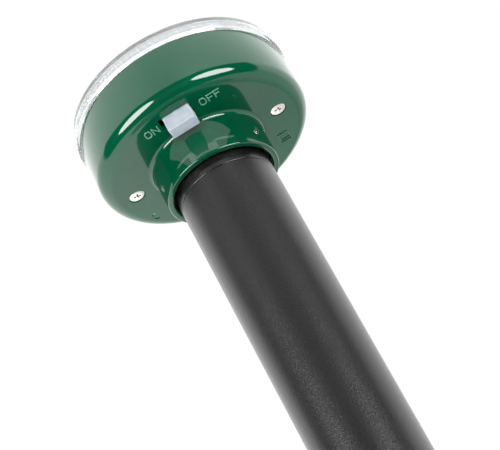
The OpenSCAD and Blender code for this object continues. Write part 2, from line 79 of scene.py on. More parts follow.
def arc(x, z, r, start, end, steps=8):
    """Points of an arc round (x, z), with its angles in degrees."""
    turn = [math.radians(start + (end - start) * i / steps) for i in range(steps + 1)]
    return [(x + r * math.cos(a), z + r * math.sin(a)) for a in turn]


def select_only(piece):
    bpy.ops.object.select_all(action="DESELECT")
    piece.select_set(True)
    bpy.context.view_layer.objects.active = piece


def added(name):
    """Names the primitive that was just added."""
    piece = bpy.context.object
    piece.name = name
    piece.data.name = name
    return piece


def turned(name, outline, base=under_z, sides=SIDES):
    """Spins an outline of (radius, height) in millimetres about the axis. Its height 0 is at base."""
    bpy.ops.object.select_all(action="DESELECT")
    bpy.ops.mesh.primitive_plane_add(size=MM, location=(0, 0, 0))
    piece = added(name)
    corners = [Vector((r * MM, 0, base + h * MM)) for r, h in outline]
    if outline[0][0] > 0:
        corners.append(corners[0])
    bpy.ops.object.mode_set(mode="EDIT")
    bpy.ops.mesh.select_mode(type="VERT")
    bpy.ops.mesh.merge(type="CENTER")
    bpy.ops.transform.translate(value=corners[0])
    for here, there in zip(corners, corners[1:]):
        bpy.ops.mesh.extrude_region_move(TRANSFORM_OT_translate={"value": there - here})
    bpy.ops.mesh.select_all(action="SELECT")
    bpy.ops.mesh.remove_doubles(threshold=MM / 200)
    bpy.ops.mesh.spin(steps=sides, angle=math.tau, center=(0, 0, 0), axis=(0, 0, 1))
    bpy.ops.mesh.select_all(action="SELECT")
    bpy.ops.mesh.remove_doubles(threshold=MM / 200)
    bpy.ops.mesh.normals_make_consistent(inside=False)
    bpy.ops.object.mode_set(mode="OBJECT")
    return piece


def settle(piece, place=(0, 0, 0), turn=(0, 0, 0)):
    """Turns a finished shape, in degrees, and then moves it, in millimetres, within its mesh."""
    turned_by = Matrix.Rotation(math.radians(turn[2]), 4, "Z")
    turned_by @= Matrix.Rotation(math.radians(turn[1]), 4, "Y")
    turned_by @= Matrix.Rotation(math.radians(turn[0]), 4, "X")
    x, y, z = place
    piece.data.transform(Matrix.Translation((x * MM, y * MM, z * MM)) @ turned_by)
    return piece


def rod(r, z0, z1, place, sides=48):
    """A plain cylinder for a boss or a drill. It stands at place and reaches from height z0 to z1."""
    bpy.ops.object.select_all(action="DESELECT")
    bpy.ops.mesh.primitive_cylinder_add(
        vertices=sides, radius=r * MM, depth=(z1 - z0) * MM, location=(0, 0, 0)
    )
    piece = settle(added("rod"), (0, 0, (z0 + z1) / 2))
    return settle(piece, (place[0], place[1], under_z / MM))


def combine(piece, tool, operation):
    """Joins a tool to a piece, or cuts it out of it, and takes the tool away."""
    select_only(piece)
    cut = piece.modifiers.new("combine", "BOOLEAN")
    cut.operation = operation
    cut.solver = "MANIFOLD"
    cut.object = tool
    bpy.ops.object.modifier_apply(modifier=cut.name)
    bpy.data.objects.remove(tool)


def smooth(piece, angle=30):
    select_only(piece)
    bpy.ops.object.shade_smooth_by_angle(angle=math.radians(angle))


# Short flats beside each arc keep the broad faces flat where they meet it
head_shell = turned("head_shell_moulding", [
    (lip_r, 0), (collar_bore_r, 0), (collar_bore_r, -1),
    *arc(collar_bore_r + 0.5, 0.5 - collar_h, 0.5, 180, 270, 6),
    *arc(collar_r - 0.8, 0.8 - collar_h, 0.8, 270, 360, 8),
    (collar_r, 1.0 - collar_h), *[(collar_r, h) for h in range(-18, -2, 3)],
    *arc(collar_r + root_r, -root_r, root_r, 180, 90, 10),
    (collar_r + root_r + 0.2, 0), (side_x - 0.2, 0),
    *arc(side_x, shoulder_r, shoulder_r, 270, 360, 20),
    (shell_r, shoulder_r + 0.2), (shell_r, shell_h - 1.4), (shell_r - 0.1, shell_h - 1.2),
    (shell_r - 0.95, shell_h - 0.1), (shell_r - 1.2, shell_h),
    (shell_in_r, shell_h), (shell_in_r, 8),
    *arc(shell_in_r - 4, floor_t + 4, 4, 360, 270, 8),
    (lip_r, floor_t),
])
bosses = [(s * screw_x, 0, 5, 8.5) for s in (-1, 1)]
bosses += [(switch_mid_x + s * switch_screw_x, switch_y, 2.6, 5) for s in (-1, 1)]
bosses += [(s * strap_screw_x, pack_y, 2.8, 4) for s in (-1, 1)]
for x, y, r, top in bosses:
    combine(head_shell, rod(r, floor_t - 0.5, top, (x, y)), "UNION")
for x, y, r, top in bosses[2:]:
    combine(head_shell, rod(pilot_r, 1, top + 1, (x, y)), "DIFFERENCE")
for s in (-1, 1):
    sink = turned("sink", [
        (0, -1), (4.35, -1), (4.35, 0.4), (4.15, 0.4), (2.15, 2.5), (2.15, 10), (0, 10),
    ], sides=64)
    combine(head_shell, settle(sink, (s * screw_x, 0, 0)), "DIFFERENCE")
for angle in collar_screw_angles:
    for r, depth in ((1.15, 4), (1.85, 1.1)):
        hole = rod(r, -1, depth, (0, 0), 32)
        settle(hole, (0, 0, -under_z / MM))
        settle(hole, (0, -collar_r, 0), (-90, 0, 0))
        settle(hole, (0, 0, under_z / MM - collar_screw_h), (0, 0, angle))
        combine(head_shell, hole, "DIFFERENCE")
bpy.ops.mesh.primitive_cube_add(size=MM, location=(0, 0, 0), scale=slot_size)
slot = added("slot")
bpy.ops.object.transform_apply(location=False, rotation=False, scale=True)
combine(head_shell, settle(slot, (slot_x, switch_y, under_z / MM)), "DIFFERENCE")


def ridge(a, b, width=0.8):
    """A raised stroke on the underside: a ball pulled out from a to b, half sunk in the face."""
    start = Vector((a[0] * MM, a[1] * MM, under_z))
    pull = Vector(((b[0] - a[0]) * MM, (b[1] - a[1]) * MM, 0))
    bpy.ops.object.select_all(action="DESELECT")
    bpy.ops.mesh.primitive_uv_sphere_add(
        segments=16, ring_count=8, radius=width / 2 * MM, location=(0, 0, 0)
    )
    piece = added("ridge")
    along = math.atan2(pull.y, pull.x) + math.pi / 16
    piece.data.transform(Matrix.Rotation(along, 4, "Z"))
    bpy.ops.object.mode_set(mode="EDIT")
    bpy.ops.mesh.select_all(action="DESELECT")
    bpy.ops.object.mode_set(mode="OBJECT")
    for v in piece.data.vertices:
        v.select = v.co.dot(pull) > 0
    bpy.ops.object.mode_set(mode="EDIT")
    bpy.ops.transform.translate(value=pull)
    bpy.ops.object.mode_set(mode="OBJECT")
    piece.data.transform(Matrix.Translation(start))
    return piece


def ring_ridge(x, y, r, stretch, width=0.8):
    """A raised ring on the underside, pulled apart by stretch in y."""
    bpy.ops.object.select_all(action="DESELECT")
    bpy.ops.mesh.primitive_torus_add(
        major_segments=48, minor_segments=12, location=(0, 0, 0),
        major_radius=r * MM, minor_radius=width / 2 * MM,
    )
    piece = added("ring_ridge")
    for v in piece.data.vertices:
        v.co.y += math.copysign(min(1, abs(v.co.y) / (r * MM) * 2), v.co.y) * stretch * MM / 2
    return settle(piece, (x, y, under_z / MM))


# ON and OFF are drawn in single strokes, each letter between -1 and 1 of its half width and height.
# They read from below, so that their tops point towards the outside of the head.
letter_y = -39.7
half_w = 1.475
half_h = 2.55
n_x = -13
on_o_x = -17.2
off_o_x = 13.5
f_x = [17.8, 21.6]
strokes_n = [((-1, -1), (-1, 1)), ((-1, 1), (1, -1)), ((1, -1), (1, 1))]
strokes_f = [((-1, -1), (-1, 1)), ((-1, 1), (1, 1)), ((-1, 0), (0.5, 0))]
for x, strokes in ((n_x, strokes_n), (f_x[0], strokes_f), (f_x[1], strokes_f)):
    for a, b in strokes:
        ends = [(x + p[0] * half_w, letter_y - p[1] * half_h) for p in (a, b)]
        combine(head_shell, ridge(*ends), "UNION")
for x in (on_o_x, off_o_x):
    combine(head_shell, ring_ridge(x, letter_y, half_w, 2 * (half_h - half_w)), "UNION")

# The two plain mould marks: half a ring, and a square with a bar beside it
mark_w = 0.9
ring_x = -39.3
ring_y = 23.7
ring_r = 2.8
broken_ring = ring_ridge(ring_x, ring_y, ring_r, 0, mark_w)
select_only(broken_ring)
bpy.ops.object.mode_set(mode="EDIT")
bpy.ops.mesh.select_all(action="SELECT")
bpy.ops.mesh.bisect(
    plane_co=(ring_x * MM, ring_y * MM, under_z), plane_no=(1, 0, 0), clear_outer=True, use_fill=True
)
bpy.ops.object.mode_set(mode="OBJECT")
combine(head_shell, broken_ring, "UNION")
left_x = 33.6
right_x = 38.8
near_y = 19.2
far_y = 24.4
bar_y = 26.4
square = [(left_x, near_y), (right_x, near_y), (right_x, far_y), (left_x, far_y)]
for a, b in [*zip(square, square[1:] + square[:1]), ((left_x, bar_y), (right_x, bar_y))]:
    combine(head_shell, ridge(a, b, mark_w), "UNION")
smooth(head_shell)


def coat(piece, finish):
    """Gives a finished piece its one material."""
    piece.data.materials.clear()
    piece.data.materials.append(finish)


def add(tree, kind, settings, links=()):
    """Adds a shader node: settings are its properties and socket values, links the sockets that feed it."""
    made = tree.nodes.new("ShaderNode" + kind)
    for key, value in settings.items():
        if str(key) in made.bl_rna.properties:
            setattr(made, key, value)
        else:
            made.inputs[key].default_value = value
    for key, source in dict(links).items():
        tree.links.new(made.inputs[key], source)
    return made


def colour(hex_code):
    """An sRGB hex colour as linear RGBA."""
    parts = [int(hex_code[i:i + 2], 16) / 255 for i in (1, 3, 5)]
    return tuple(p / 12.92 if p <= 0.04045 else ((p + 0.055) / 1.055) ** 2.4 for p in parts) + (1,)


def material(name):
    """A new material with its node tree and its Principled shader."""
    made = bpy.data.materials.new(name)
    made.use_nodes = True
    return made, made.node_tree, made.node_tree.nodes["Principled BSDF"]


# Glossy moulded ABS: deep green under a clear gloss, faint flow clouds in the pigment a few centimetres
# across, and the very shallow orange peel of a polished mould, about 5 mm from crest to crest.
green_abs, tree, shader = material("glossy_green_abs")
where = add(tree, "TexCoord", {}).outputs["Object"]
clouds = add(tree, "TexNoise", {"Scale": 1 / (30 * MM), "Detail": 3, "Roughness": 0.6}, {"Vector": where})
pigment = add(tree, "ValToRGB", {}, {"Fac": clouds.outputs["Fac"]})
pigment.color_ramp.elements[0].position = 0.3
pigment.color_ramp.elements[0].color = colour("#005438")
pigment.color_ramp.elements[1].position = 0.7
pigment.color_ramp.elements[1].color = colour("#005E40")
peel = add(tree, "TexNoise", {"Scale": 1 / (5 * MM), "Detail": 1, "Roughness": 0.4}, {"Vector": where})
peel_bump = add(tree, "Bump", {"Strength": 1, "Distance": 0.006 * MM}, {"Height": peel.outputs["Fac"]})
handling = add(tree, "TexNoise", {"Scale": 1 / (12 * MM), "Detail": 4}, {"Vector": where})
gloss = add(tree, "MapRange", {"From Min": 0.3, "From Max": 0.8, "To Min": 0.05, "To Max": 0.11},
            {"Value": handling.outputs["Fac"]})
tree.links.new(shader.inputs["Base Color"], pigment.outputs["Color"])
tree.links.new(shader.inputs["Roughness"], gloss.outputs["Result"])
tree.links.new(shader.inputs["Normal"], peel_bump.outputs["Normal"])
shader.inputs["IOR"].default_value = 1.54

# Matt letter tops, painted pale green as a painted highlight so that they read pale against the gloss
letter_highlight_abs, tree, shader = material("green_abs_painted_highlight")
where = add(tree, "TexCoord", {}).outputs["Object"]
highlight_mottle = add(tree, "TexNoise", {"Scale": 1 / (0.4 * MM), "Detail": 3}, {"Vector": where})
painted_highlight_ramp = add(tree, "ValToRGB", {}, {"Fac": highlight_mottle.outputs["Fac"]})
painted_highlight_ramp.color_ramp.elements[0].position = 0.3
painted_highlight_ramp.color_ramp.elements[0].color = colour("#3F8B6C")
painted_highlight_ramp.color_ramp.elements[1].position = 0.7
painted_highlight_ramp.color_ramp.elements[1].color = colour("#7FBC9F")
tree.links.new(shader.inputs["Base Color"], painted_highlight_ramp.outputs["Color"])
shader.inputs["Roughness"].default_value = 0.45
shader.inputs["IOR"].default_value = 1.54

coat(head_shell, green_abs)
head_shell.data.materials.append(letter_highlight_abs)
# The raised tops of ON and OFF take the pale painted-highlight material
standing_out = 0.12
for face in head_shell.data.polygons:
    x, y, z = face.center / MM
    beside_slot = abs(y - letter_y) < 4 and 10.5 < abs(x) < 24.5
    if beside_slot and z < under_z / MM - standing_out and face.normal.z < 0:
        face.material_index = 1
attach(head_shell, "housing")
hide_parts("head_shell")

# ---- Clear window ---------------------------------------------------------------------------------
# The cover over the solar panel is one clear polycarbonate moulding. Its spigot goes into the shell with
# a rubber ring in a groove, and two posts reach down to the head screws that pull it on.
window_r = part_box("top_window")[1].x / MM
window_h = (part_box("top_window")[1].z - shell_high.z) / MM
spigot_r = shell_in_r - 0.2
spigot_in_r = spigot_r - 3.1
top_t = 1.8
under_top = window_h - top_t
lean = 1.2
groove_r = spigot_r - 1.6
post_r = 3.5
post_bore_r = 1.75
window = turned("window_moulding", [
    (0, under_top), (window_r - lean - 3.2, under_top),
    *arc(window_r - lean - 3.2, under_top - 1, 1, 90, 30, 4),
    (spigot_in_r, 1), (spigot_in_r, -3.2), (spigot_in_r + 0.4, -3.6),
    (spigot_r - 0.4, -3.6), (spigot_r, -3.2),
    (spigot_r, -2.75), (groove_r, -2.75), (groove_r, -0.85), (spigot_r, -0.85),
    (spigot_r, 0), (shell_r - 1.4, 0), (shell_r - 1.4, 0.35), (window_r - 0.6, 0.35),
    *arc(window_r - 0.4, 0.75, 0.4, 270, 395, 8), (window_r - 0.35, 1.3),
    *arc(window_r - lean - 1.2, window_h - 1.2, 1.2, 0, 90, 10),
    (window_r - lean - 1.6, window_h), (0, window_h),
], base=shell_high.z)
for s in (-1, 1):
    top = shell_h + under_top + 0.5
    combine(window, rod(post_r, 8.5, top, (s * screw_x, 0)), "UNION")
    combine(window, rod(post_bore_r, 7.5, 22.5, (s * screw_x, 0)), "DIFFERENCE")
smooth(window)

# Clear polycarbonate: colourless and water-clear with a hard gloss, and a trace of mould flow that bends
# what is seen through it, over about 20 mm.
clear_pc, tree, shader = material("clear_moulded_polycarbonate")
where = add(tree, "TexCoord", {}).outputs["Object"]
flow = add(tree, "TexNoise", {"Scale": 1 / (20 * MM), "Detail": 2}, {"Vector": where})
flow_bump = add(tree, "Bump", {"Strength": 1, "Distance": 0.004 * MM}, {"Height": flow.outputs["Fac"]})
tree.links.new(shader.inputs["Normal"], flow_bump.outputs["Normal"])
shader.inputs["Base Color"].default_value = colour("#F7FAFB")
shader.inputs["Transmission Weight"].default_value = 1
shader.inputs["Roughness"].default_value = 0.02
shader.inputs["IOR"].default_value = 1.585
shader.inputs["Alpha"].default_value = 0.88

coat(window, clear_pc)
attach(window, "housing")
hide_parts("top_window")

# ---- Head screws ----------------------------------------------------------------------------------
# Two countersunk cross-recess screws in nickel-plated steel sit in the underside and pull the window's
# posts down. Their threads cut into the posts.
head_r = 4.1


def thread(r, core_r, start, end, pitch):
    """Outline of a threaded shank between two heights, from core to crest to core at each pitch."""
    turns = int(abs(end - start) / pitch)
    step = math.copysign(pitch, end - start)
    outline = []
    for i in range(turns):
        z = start + i * step
        outline += [(core_r, z), (r, z + step * 0.35), (r, z + step * 0.5), (core_r, z + step * 0.9)]
    return outline


def cross_recess(width, arm, depth, place, turn):
    """Cutter for a cross recess: two bars tapered towards their bottom, joined."""
    bars = []
    for quarter in (0, 90):
        bpy.ops.object.select_all(action="DESELECT")
        bpy.ops.mesh.primitive_cube_add(size=MM, location=(0, 0, 0), scale=(width, arm, depth))
        bar = added("bar")
        bpy.ops.object.transform_apply(location=False, rotation=False, scale=True)
        bpy.ops.object.mode_set(mode="EDIT")
        bpy.ops.mesh.select_all(action="DESELECT")
        bpy.ops.object.mode_set(mode="OBJECT")
        for face in bar.data.polygons:
            face.select = face.normal.z > 0.5
        bpy.ops.object.mode_set(mode="EDIT")
        bpy.ops.transform.resize(value=(0.45, 0.7, 1))
        bpy.ops.object.mode_set(mode="OBJECT")
        bars.append(settle(bar, (0, 0, 0), (0, 0, quarter)))
    combine(bars[0], bars[1], "UNION")
    return settle(settle(bars[0], (0, 0, 0), turn), place)


head_screws = None
for s in (-1, 1):
    screw = turned("head_screws_steel", [
        (0, 0.12), (2.6, 0.14), (head_r - 0.6, 0.22), (head_r - 0.15, 0.34), (head_r, 0.48),
        (head_r - 0.1, 0.6), (1.9, 2.5), (1.7, 2.6), (1.7, 6),
        *thread(1.72, 1.35, 6, 19.5, 1.25), (1.2, 19.6), (0.3, 21), (0, 21),
    ], sides=64)
    recess = cross_recess(4.6, 1.0, 2.6, (0, 0, under_z / MM + 0.6), (0, 0, 20))
    combine(screw, recess, "DIFFERENCE")
    settle(screw, (s * screw_x, 0, 0))
    smooth(screw)
    if head_screws is None:
        head_screws = screw
    else:
        select_only(head_screws)
        screw.select_set(True)
        bpy.ops.object.join()

# Nickel-plated steel: bright and pale, slightly milky, with fine die marks under a millimetre apart.
nickel, tree, shader = material("nickel_plated_steel")
where = add(tree, "TexCoord", {}).outputs["Object"]
die_marks = add(tree, "TexNoise", {"Scale": 1 / (0.7 * MM), "Detail": 4, "Roughness": 0.6},
                {"Vector": where})
haze = add(tree, "MapRange", {"To Min": 0.16, "To Max": 0.36}, {"Value": die_marks.outputs["Fac"]})
dents = add(tree, "Bump", {"Strength": 1, "Distance": 0.02 * MM}, {"Height": die_marks.outputs["Fac"]})
tree.links.new(shader.inputs["Roughness"], haze.outputs["Result"])
tree.links.new(shader.inputs["Normal"], dents.outputs["Normal"])
shader.inputs["Base Color"].default_value = colour("#E9E6DF")
shader.inputs["Metallic"].default_value = 1

coat(head_screws, nickel)
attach(head_screws, "housing")
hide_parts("head_screws")

# ---- Collar screws --------------------------------------------------------------------------------
# Three small pan-head screws go through the collar's side into the black adapter and hold the tube on.
# They are the same plated steel and sit in shallow counterbores.
collar_screws = None
for angle in collar_screw_angles:
    screw = turned("collar_screws_steel", [
        (0, 0.9), (0.8, 0.86), *arc(0.9, 0.2, 0.7, 75, 0, 6), (1.6, 0), (0.95, 0), (0.95, -1.2),
        *thread(0.97, 0.72, -1.2, -6.2, 0.7), (0.7, -6.3), (0.2, -7), (0, -7),
    ], base=0, sides=40)
    combine(screw, cross_recess(1.9, 0.5, 1.2, (0, 0, 0.9), (180, 0, 30)), "DIFFERENCE")
    settle(screw, (0, 1.1 - collar_r, 0), (90, 0, 0))
    settle(screw, (0, 0, under_z / MM - collar_screw_h), (0, 0, angle))
    smooth(screw)
    if collar_screws is None:
        collar_screws = screw
    else:
        select_only(collar_screws)
        screw.select_set(True)
        bpy.ops.object.join()

coat(collar_screws, nickel)
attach(collar_screws, "housing")
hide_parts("collar_screws")

# ---- Switch cap -----------------------------------------------------------------------------------
# The finger piece of the slide switch is a hollow cap in milky polyethylene with 1.5 mm walls. A web
# across its middle holds the socket that is pushed over the switch's black lever.
cap_low, cap_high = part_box("switch_cap")
cap_size = cap_high - cap_low
cap_wall = 1.5
bpy.ops.object.select_all(action="DESELECT")
bpy.ops.mesh.primitive_cube_add(size=1, location=(cap_low + cap_high) / 2, scale=cap_size)
switch_cap = added("switch_cap_moulding")
bpy.ops.object.transform_apply(location=True, rotation=False, scale=True)
for edge in switch_cap.data.edges:
    ends = [switch_cap.data.vertices[i].co.z for i in edge.vertices]
    edge.select = min(ends) < cap_low.z + cap_wall * MM
bpy.ops.object.mode_set(mode="EDIT")
bpy.ops.mesh.select_mode(type="EDGE")
bpy.ops.mesh.bevel(offset=0.55 * MM, segments=4, affect="EDGES")
bpy.ops.mesh.select_mode(type="FACE")
bpy.ops.mesh.select_all(action="DESELECT")
bpy.ops.object.mode_set(mode="OBJECT")
for face in switch_cap.data.polygons:
    face.select = face.normal.z > 0.9 and face.center.z > cap_high.z - MM
bpy.ops.object.mode_set(mode="EDIT")
bpy.ops.mesh.inset(thickness=cap_wall * MM, depth=0)
bpy.ops.mesh.extrude_region_move(TRANSFORM_OT_translate={"value": (0, 0, cap_wall * MM - cap_size.z)})
bpy.ops.object.mode_set(mode="OBJECT")
lever_low, lever_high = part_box("switch_lever")
for scale, z0, z1, operation in (
    ((6.4, cap_size.y / MM - 2, 0), cap_low.z + MM, cap_low.z + 9 * MM, "UNION"),
    ((4.04, 3.64, 0), lever_low.z - 0.05 * MM, lever_high.z, "DIFFERENCE"),
):
    bpy.ops.object.select_all(action="DESELECT")
    bpy.ops.mesh.primitive_cube_add(
        size=1, location=(0, switch_y * MM, (z0 + z1) / 2), scale=(scale[0] * MM, scale[1] * MM, z1 - z0)
    )
    web = added("web")
    bpy.ops.object.transform_apply(location=True, rotation=False, scale=True)
    combine(switch_cap, web, operation)
smooth(switch_cap, 40)

# Milky polyethylene: light goes in and spreads, so the walls look bluish white and the edges brighter,
# and the dark lever inside shows as a soft shadow. The mould left a fine satin grain of about 0.3 mm.
milky_pe, tree, shader = material("milky_polyethylene")
where = add(tree, "TexCoord", {}).outputs["Object"]
grain = add(tree, "TexNoise", {"Scale": 1 / (0.3 * MM), "Detail": 2}, {"Vector": where})
grain_bump = add(tree, "Bump", {"Strength": 1, "Distance": 0.01 * MM}, {"Height": grain.outputs["Fac"]})
patches = add(tree, "TexNoise", {"Scale": 1 / (4 * MM), "Detail": 3}, {"Vector": where})
tint = add(tree, "ValToRGB", {}, {"Fac": patches.outputs["Fac"]})
tint.color_ramp.elements[0].position = 0.3
tint.color_ramp.elements[0].color = colour("#CDD8E4")
tint.color_ramp.elements[1].position = 0.7
tint.color_ramp.elements[1].color = colour("#DFE8F1")
tree.links.new(shader.inputs["Base Color"], tint.outputs["Color"])
tree.links.new(shader.inputs["Normal"], grain_bump.outputs["Normal"])
shader.inputs["Roughness"].default_value = 0.32
shader.inputs["IOR"].default_value = 1.51
shader.inputs["Transmission Weight"].default_value = 0.2
shader.inputs["Subsurface Weight"].default_value = 0.7
shader.inputs["Subsurface Radius"].default_value = (1, 1, 1)
shader.inputs["Subsurface Scale"].default_value = 2 * MM

coat(switch_cap, milky_pe)
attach(switch_cap, "switch")
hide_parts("switch_cap")

# ---- Tube adapter ---------------------------------------------------------------------------------
# A black nylon plug sits in the collar, and its lower spigot in the tube. Between the two it shows as a
# short glossy neck, with a thin rounded edge that meets the tube's end.
tube_low, tube_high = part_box("stake_tube")
tube_r = tube_high.x / MM
tube_in_r = tube_r - 1.5
neck_h = (under_z - tube_high.z) / MM
body_r = collar_bore_r - 0.15
adapter = turned("tube_adapter_moulding", [
    (21, -0.05), (21, -neck_h - 18), (tube_in_r - 0.6, -neck_h - 18), (tube_in_r - 0.1, -neck_h - 17.5),
    (tube_in_r - 0.1, -neck_h), (tube_r - 0.5, -neck_h),
    *arc(tube_r - 0.4, 0.4 - neck_h, 0.4, 270, 360, 6),
    (tube_r, 0.6 - neck_h), (tube_r, -17.3), *arc(tube_r + 0.6, -17.2, 0.6, 180, 135, 3),
    *arc(body_r - 0.8, -15.9, 0.8, -45, 0, 4), (body_r, -15.6),
    (body_r, -5), (body_r - 1.6, -5), (body_r - 1.6, -3), (body_r, -3),
    (body_r, -0.5), (body_r - 0.4, -0.05),
])
for angle in collar_screw_angles:
    hole = rod(pilot_r, 0, 8, (0, 0), 32)
    settle(hole, (0, 0, -under_z / MM))
    settle(hole, (0, -collar_bore_r - 1, 0), (-90, 0, 0))
    settle(hole, (0, 0, under_z / MM - collar_screw_h), (0, 0, angle))
    combine(adapter, hole, "DIFFERENCE")
smooth(adapter)


def moulded_plastic(name, dark, light, roughness, grain_mm, depth_mm, ior):
    """A plain moulded plastic: two close shades in soft clouds, and a grain of the given width and depth."""
    made, tree, shader = material(name)
    where = add(tree, "TexCoord", {}).outputs["Object"]
    clouds = add(tree, "TexNoise", {"Scale": 1 / (8 * MM), "Detail": 4}, {"Vector": where})
    shade = add(tree, "ValToRGB", {}, {"Fac": clouds.outputs["Fac"]})
    shade.color_ramp.elements[0].position = 0.3
    shade.color_ramp.elements[0].color = colour(dark)
    shade.color_ramp.elements[1].position = 0.7
    shade.color_ramp.elements[1].color = colour(light)
    grain = add(tree, "TexNoise", {"Scale": 1 / (grain_mm * MM), "Detail": 3}, {"Vector": where})
    relief = add(tree, "Bump", {"Strength": 1, "Distance": depth_mm * MM}, {"Height": grain.outputs["Fac"]})
    wear = add(tree, "MapRange", {"From Min": 0.25, "From Max": 0.75, "To Min": roughness * 0.8,
                                  "To Max": roughness * 1.25}, {"Value": clouds.outputs["Fac"]})
    tree.links.new(shader.inputs["Base Color"], shade.outputs["Color"])
    tree.links.new(shader.inputs["Roughness"], wear.outputs["Result"])
    tree.links.new(shader.inputs["Normal"], relief.outputs["Normal"])
    shader.inputs["IOR"].default_value = ior
    return made


# Moulded black nylon: near black with a soft shine, so its neck shows a dull band of light.
black_nylon = moulded_plastic("black_moulded_nylon", "#070708", "#0D0D0E", 0.28, 0.8, 0.01, 1.53)
coat(adapter, black_nylon)
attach(adapter, "housing")
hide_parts("tube_adapter")

# ---- Stake tube -----------------------------------------------------------------------------------
# The stake is a drawn aluminium tube, cut to length, with its ends broken and then powder coated black.
edge_r = 0.4
tube_len = (tube_high.z - tube_low.z) / MM
tube = turned("stake_tube_coated", [
    (tube_in_r, 0.2), (tube_in_r + 0.2, 0), (tube_r - edge_r, 0),
    *arc(tube_r - edge_r, edge_r, edge_r, 270, 360, 5)[1:],
    (tube_r, edge_r + 0.3),
    *[(tube_r, h) for h in range(10, 240, 10)],
    (tube_r, tube_len - edge_r - 0.3),
    *arc(tube_r - edge_r, tube_len - edge_r, edge_r, 0, 90, 5),
    (tube_in_r + 0.2, tube_len), (tube_in_r, tube_len - 0.2),
], base=tube_low.z)
smooth(tube)

# Black powder coat: a satin skin that flowed out unevenly, with crests about 1 mm apart and a finer grit
# of 0.4 mm. It breaks the studio lights into soft speckled bands. The shade is a warm black.
powder_coat, tree, shader = material("black_powder_coat")
where = add(tree, "TexCoord", {}).outputs["Object"]
crests = add(tree, "TexNoise", {"Scale": 1 / (1.1 * MM), "Detail": 2, "Roughness": 0.5}, {"Vector": where})
grit = add(tree, "TexNoise", {"Scale": 1 / (0.4 * MM), "Detail": 2}, {"Vector": where})
both = add(tree, "Math", {"operation": "ADD"}, {0: crests.outputs["Fac"], 1: grit.outputs["Fac"]})
skin = add(tree, "Bump", {"Strength": 1, "Distance": 0.08 * MM}, {"Height": both.outputs["Value"]})
shade = add(tree, "ValToRGB", {}, {"Fac": grit.outputs["Fac"]})
shade.color_ramp.elements[0].position = 0.35
shade.color_ramp.elements[0].color = colour("#0B0A0B")
shade.color_ramp.elements[1].position = 0.7
shade.color_ramp.elements[1].color = colour("#161416")
tree.links.new(shader.inputs["Base Color"], shade.outputs["Color"])
tree.links.new(shader.inputs["Normal"], skin.outputs["Normal"])
shader.inputs["Roughness"].default_value = 0.3
shader.inputs["IOR"].default_value = 1.52

coat(tube, powder_coat)
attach(tube, "housing")
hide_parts("stake_tube")

# ---- Ground spike ---------------------------------------------------------------------------------
# The point that goes into the soil is black glass-filled nylon: a round core with four tapered fins under
# a flange as wide as the tube, and a hollow plug that is pressed into the tube's foot.
spike_len = tube_low.z / MM
flange_h = 4
fin_top = spike_len - flange_h
fin_w = 2 * tube_r - 4
fin_tip_w = 1.2
plug_r = tube_in_r - 0.1
spike = turned("ground_spike_moulding", [
    (0, 0), (0.35, 0.05), (0.6, 0.3), (8, fin_top), (tube_r - 0.4, fin_top),
    *arc(tube_r - 0.4, fin_top + 0.4, 0.4, 270, 360, 4),
    (tube_r, spike_len - 0.2), (tube_r - 0.2, spike_len),
    (plug_r, spike_len), (plug_r, spike_len + 19.6), (plug_r - 0.4, spike_len + 20),
    (plug_r - 2.5, spike_len + 20), (plug_r - 2.5, spike_len), (0, spike_len),
], base=0, sides=96)
for quarter in (0, 90):
    bpy.ops.object.select_all(action="DESELECT")
    bpy.ops.mesh.primitive_cube_add(size=MM, location=(0, 0, 0), scale=(fin_w, 3, 4.5))
    fin = added("fin")
    bpy.ops.object.transform_apply(location=False, rotation=False, scale=True)
    settle(fin, (0, 0, fin_top - 1.75))
    bpy.ops.object.mode_set(mode="EDIT")
    bpy.ops.mesh.select_all(action="DESELECT")
    bpy.ops.object.mode_set(mode="OBJECT")
    for face in fin.data.polygons:
        face.select = face.normal.z < -0.5
    bpy.ops.object.mode_set(mode="EDIT")
    bpy.ops.mesh.extrude_region_move(TRANSFORM_OT_translate={"value": (0, 0, (4.2 - fin_top) * MM)})
    bpy.ops.transform.resize(value=(fin_tip_w / fin_w, 0.45, 1))
    bpy.ops.mesh.select_all(action="SELECT")
    bpy.ops.mesh.bevel(offset=0.3 * MM, segments=2, affect="EDGES")
    bpy.ops.object.mode_set(mode="OBJECT")
    combine(spike, settle(fin, (0, 0, 0), (0, 0, quarter)), "UNION")
smooth(spike)

# Glass-filled nylon: a dull grey-black with a fibre grain of about half a millimetre.
filled_nylon = moulded_plastic("glass_filled_nylon", "#161617", "#232324", 0.5, 0.5, 0.03, 1.53)
coat(spike, filled_nylon)
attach(spike, "housing")
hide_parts("ground_spike")

# ---- Finishes of the inner pieces -----------------------------------------------------------------
# The pieces inside keep their shapes from the frame. What shows of them through the window is the white
# carrier, the solar panel and its ribbons; the rest is closed in.


def finish(finish_material, *names):
    """Gives a finish to pieces of the frame."""
    for name in names:
        piece = nodes[name]
        if not piece.material_slots:
            piece.data.materials.append(finish_material)
        for slot_of_piece in piece.material_slots:
            slot_of_piece.material = finish_material


# Moulded rubber rings: dull black with a slight bloom
epdm = moulded_plastic("moulded_epdm_rubber", "#151515", "#1E1E1E", 0.6, 0.4, 0.02, 1.5)
finish(epdm, "window_seal", "adapter_seal", "speaker_gasket")
# White polystyrene: plain, smooth and slightly warm
polystyrene = moulded_plastic("white_moulded_polystyrene", "#E6E5E0", "#F0EFEB", 0.34, 1.5, 0.01, 1.59)
finish(polystyrene, "panel_carrier", "lead_sockets")
# Foamed polyethylene tape: open cells about 0.4 mm across
foam = moulded_plastic("polyethylene_foam", "#DEDDD4", "#EFEEE8", 0.8, 0.4, 0.15, 1.5)
finish(foam, "panel_tape")
# Panel backing: white-coated glass laminate, whose weave shows faintly
laminate = moulded_plastic("white_coated_glass_laminate", "#D9DCD8", "#E4E6E2", 0.4, 0.6, 0.01, 1.5)
finish(laminate, "solar_board")
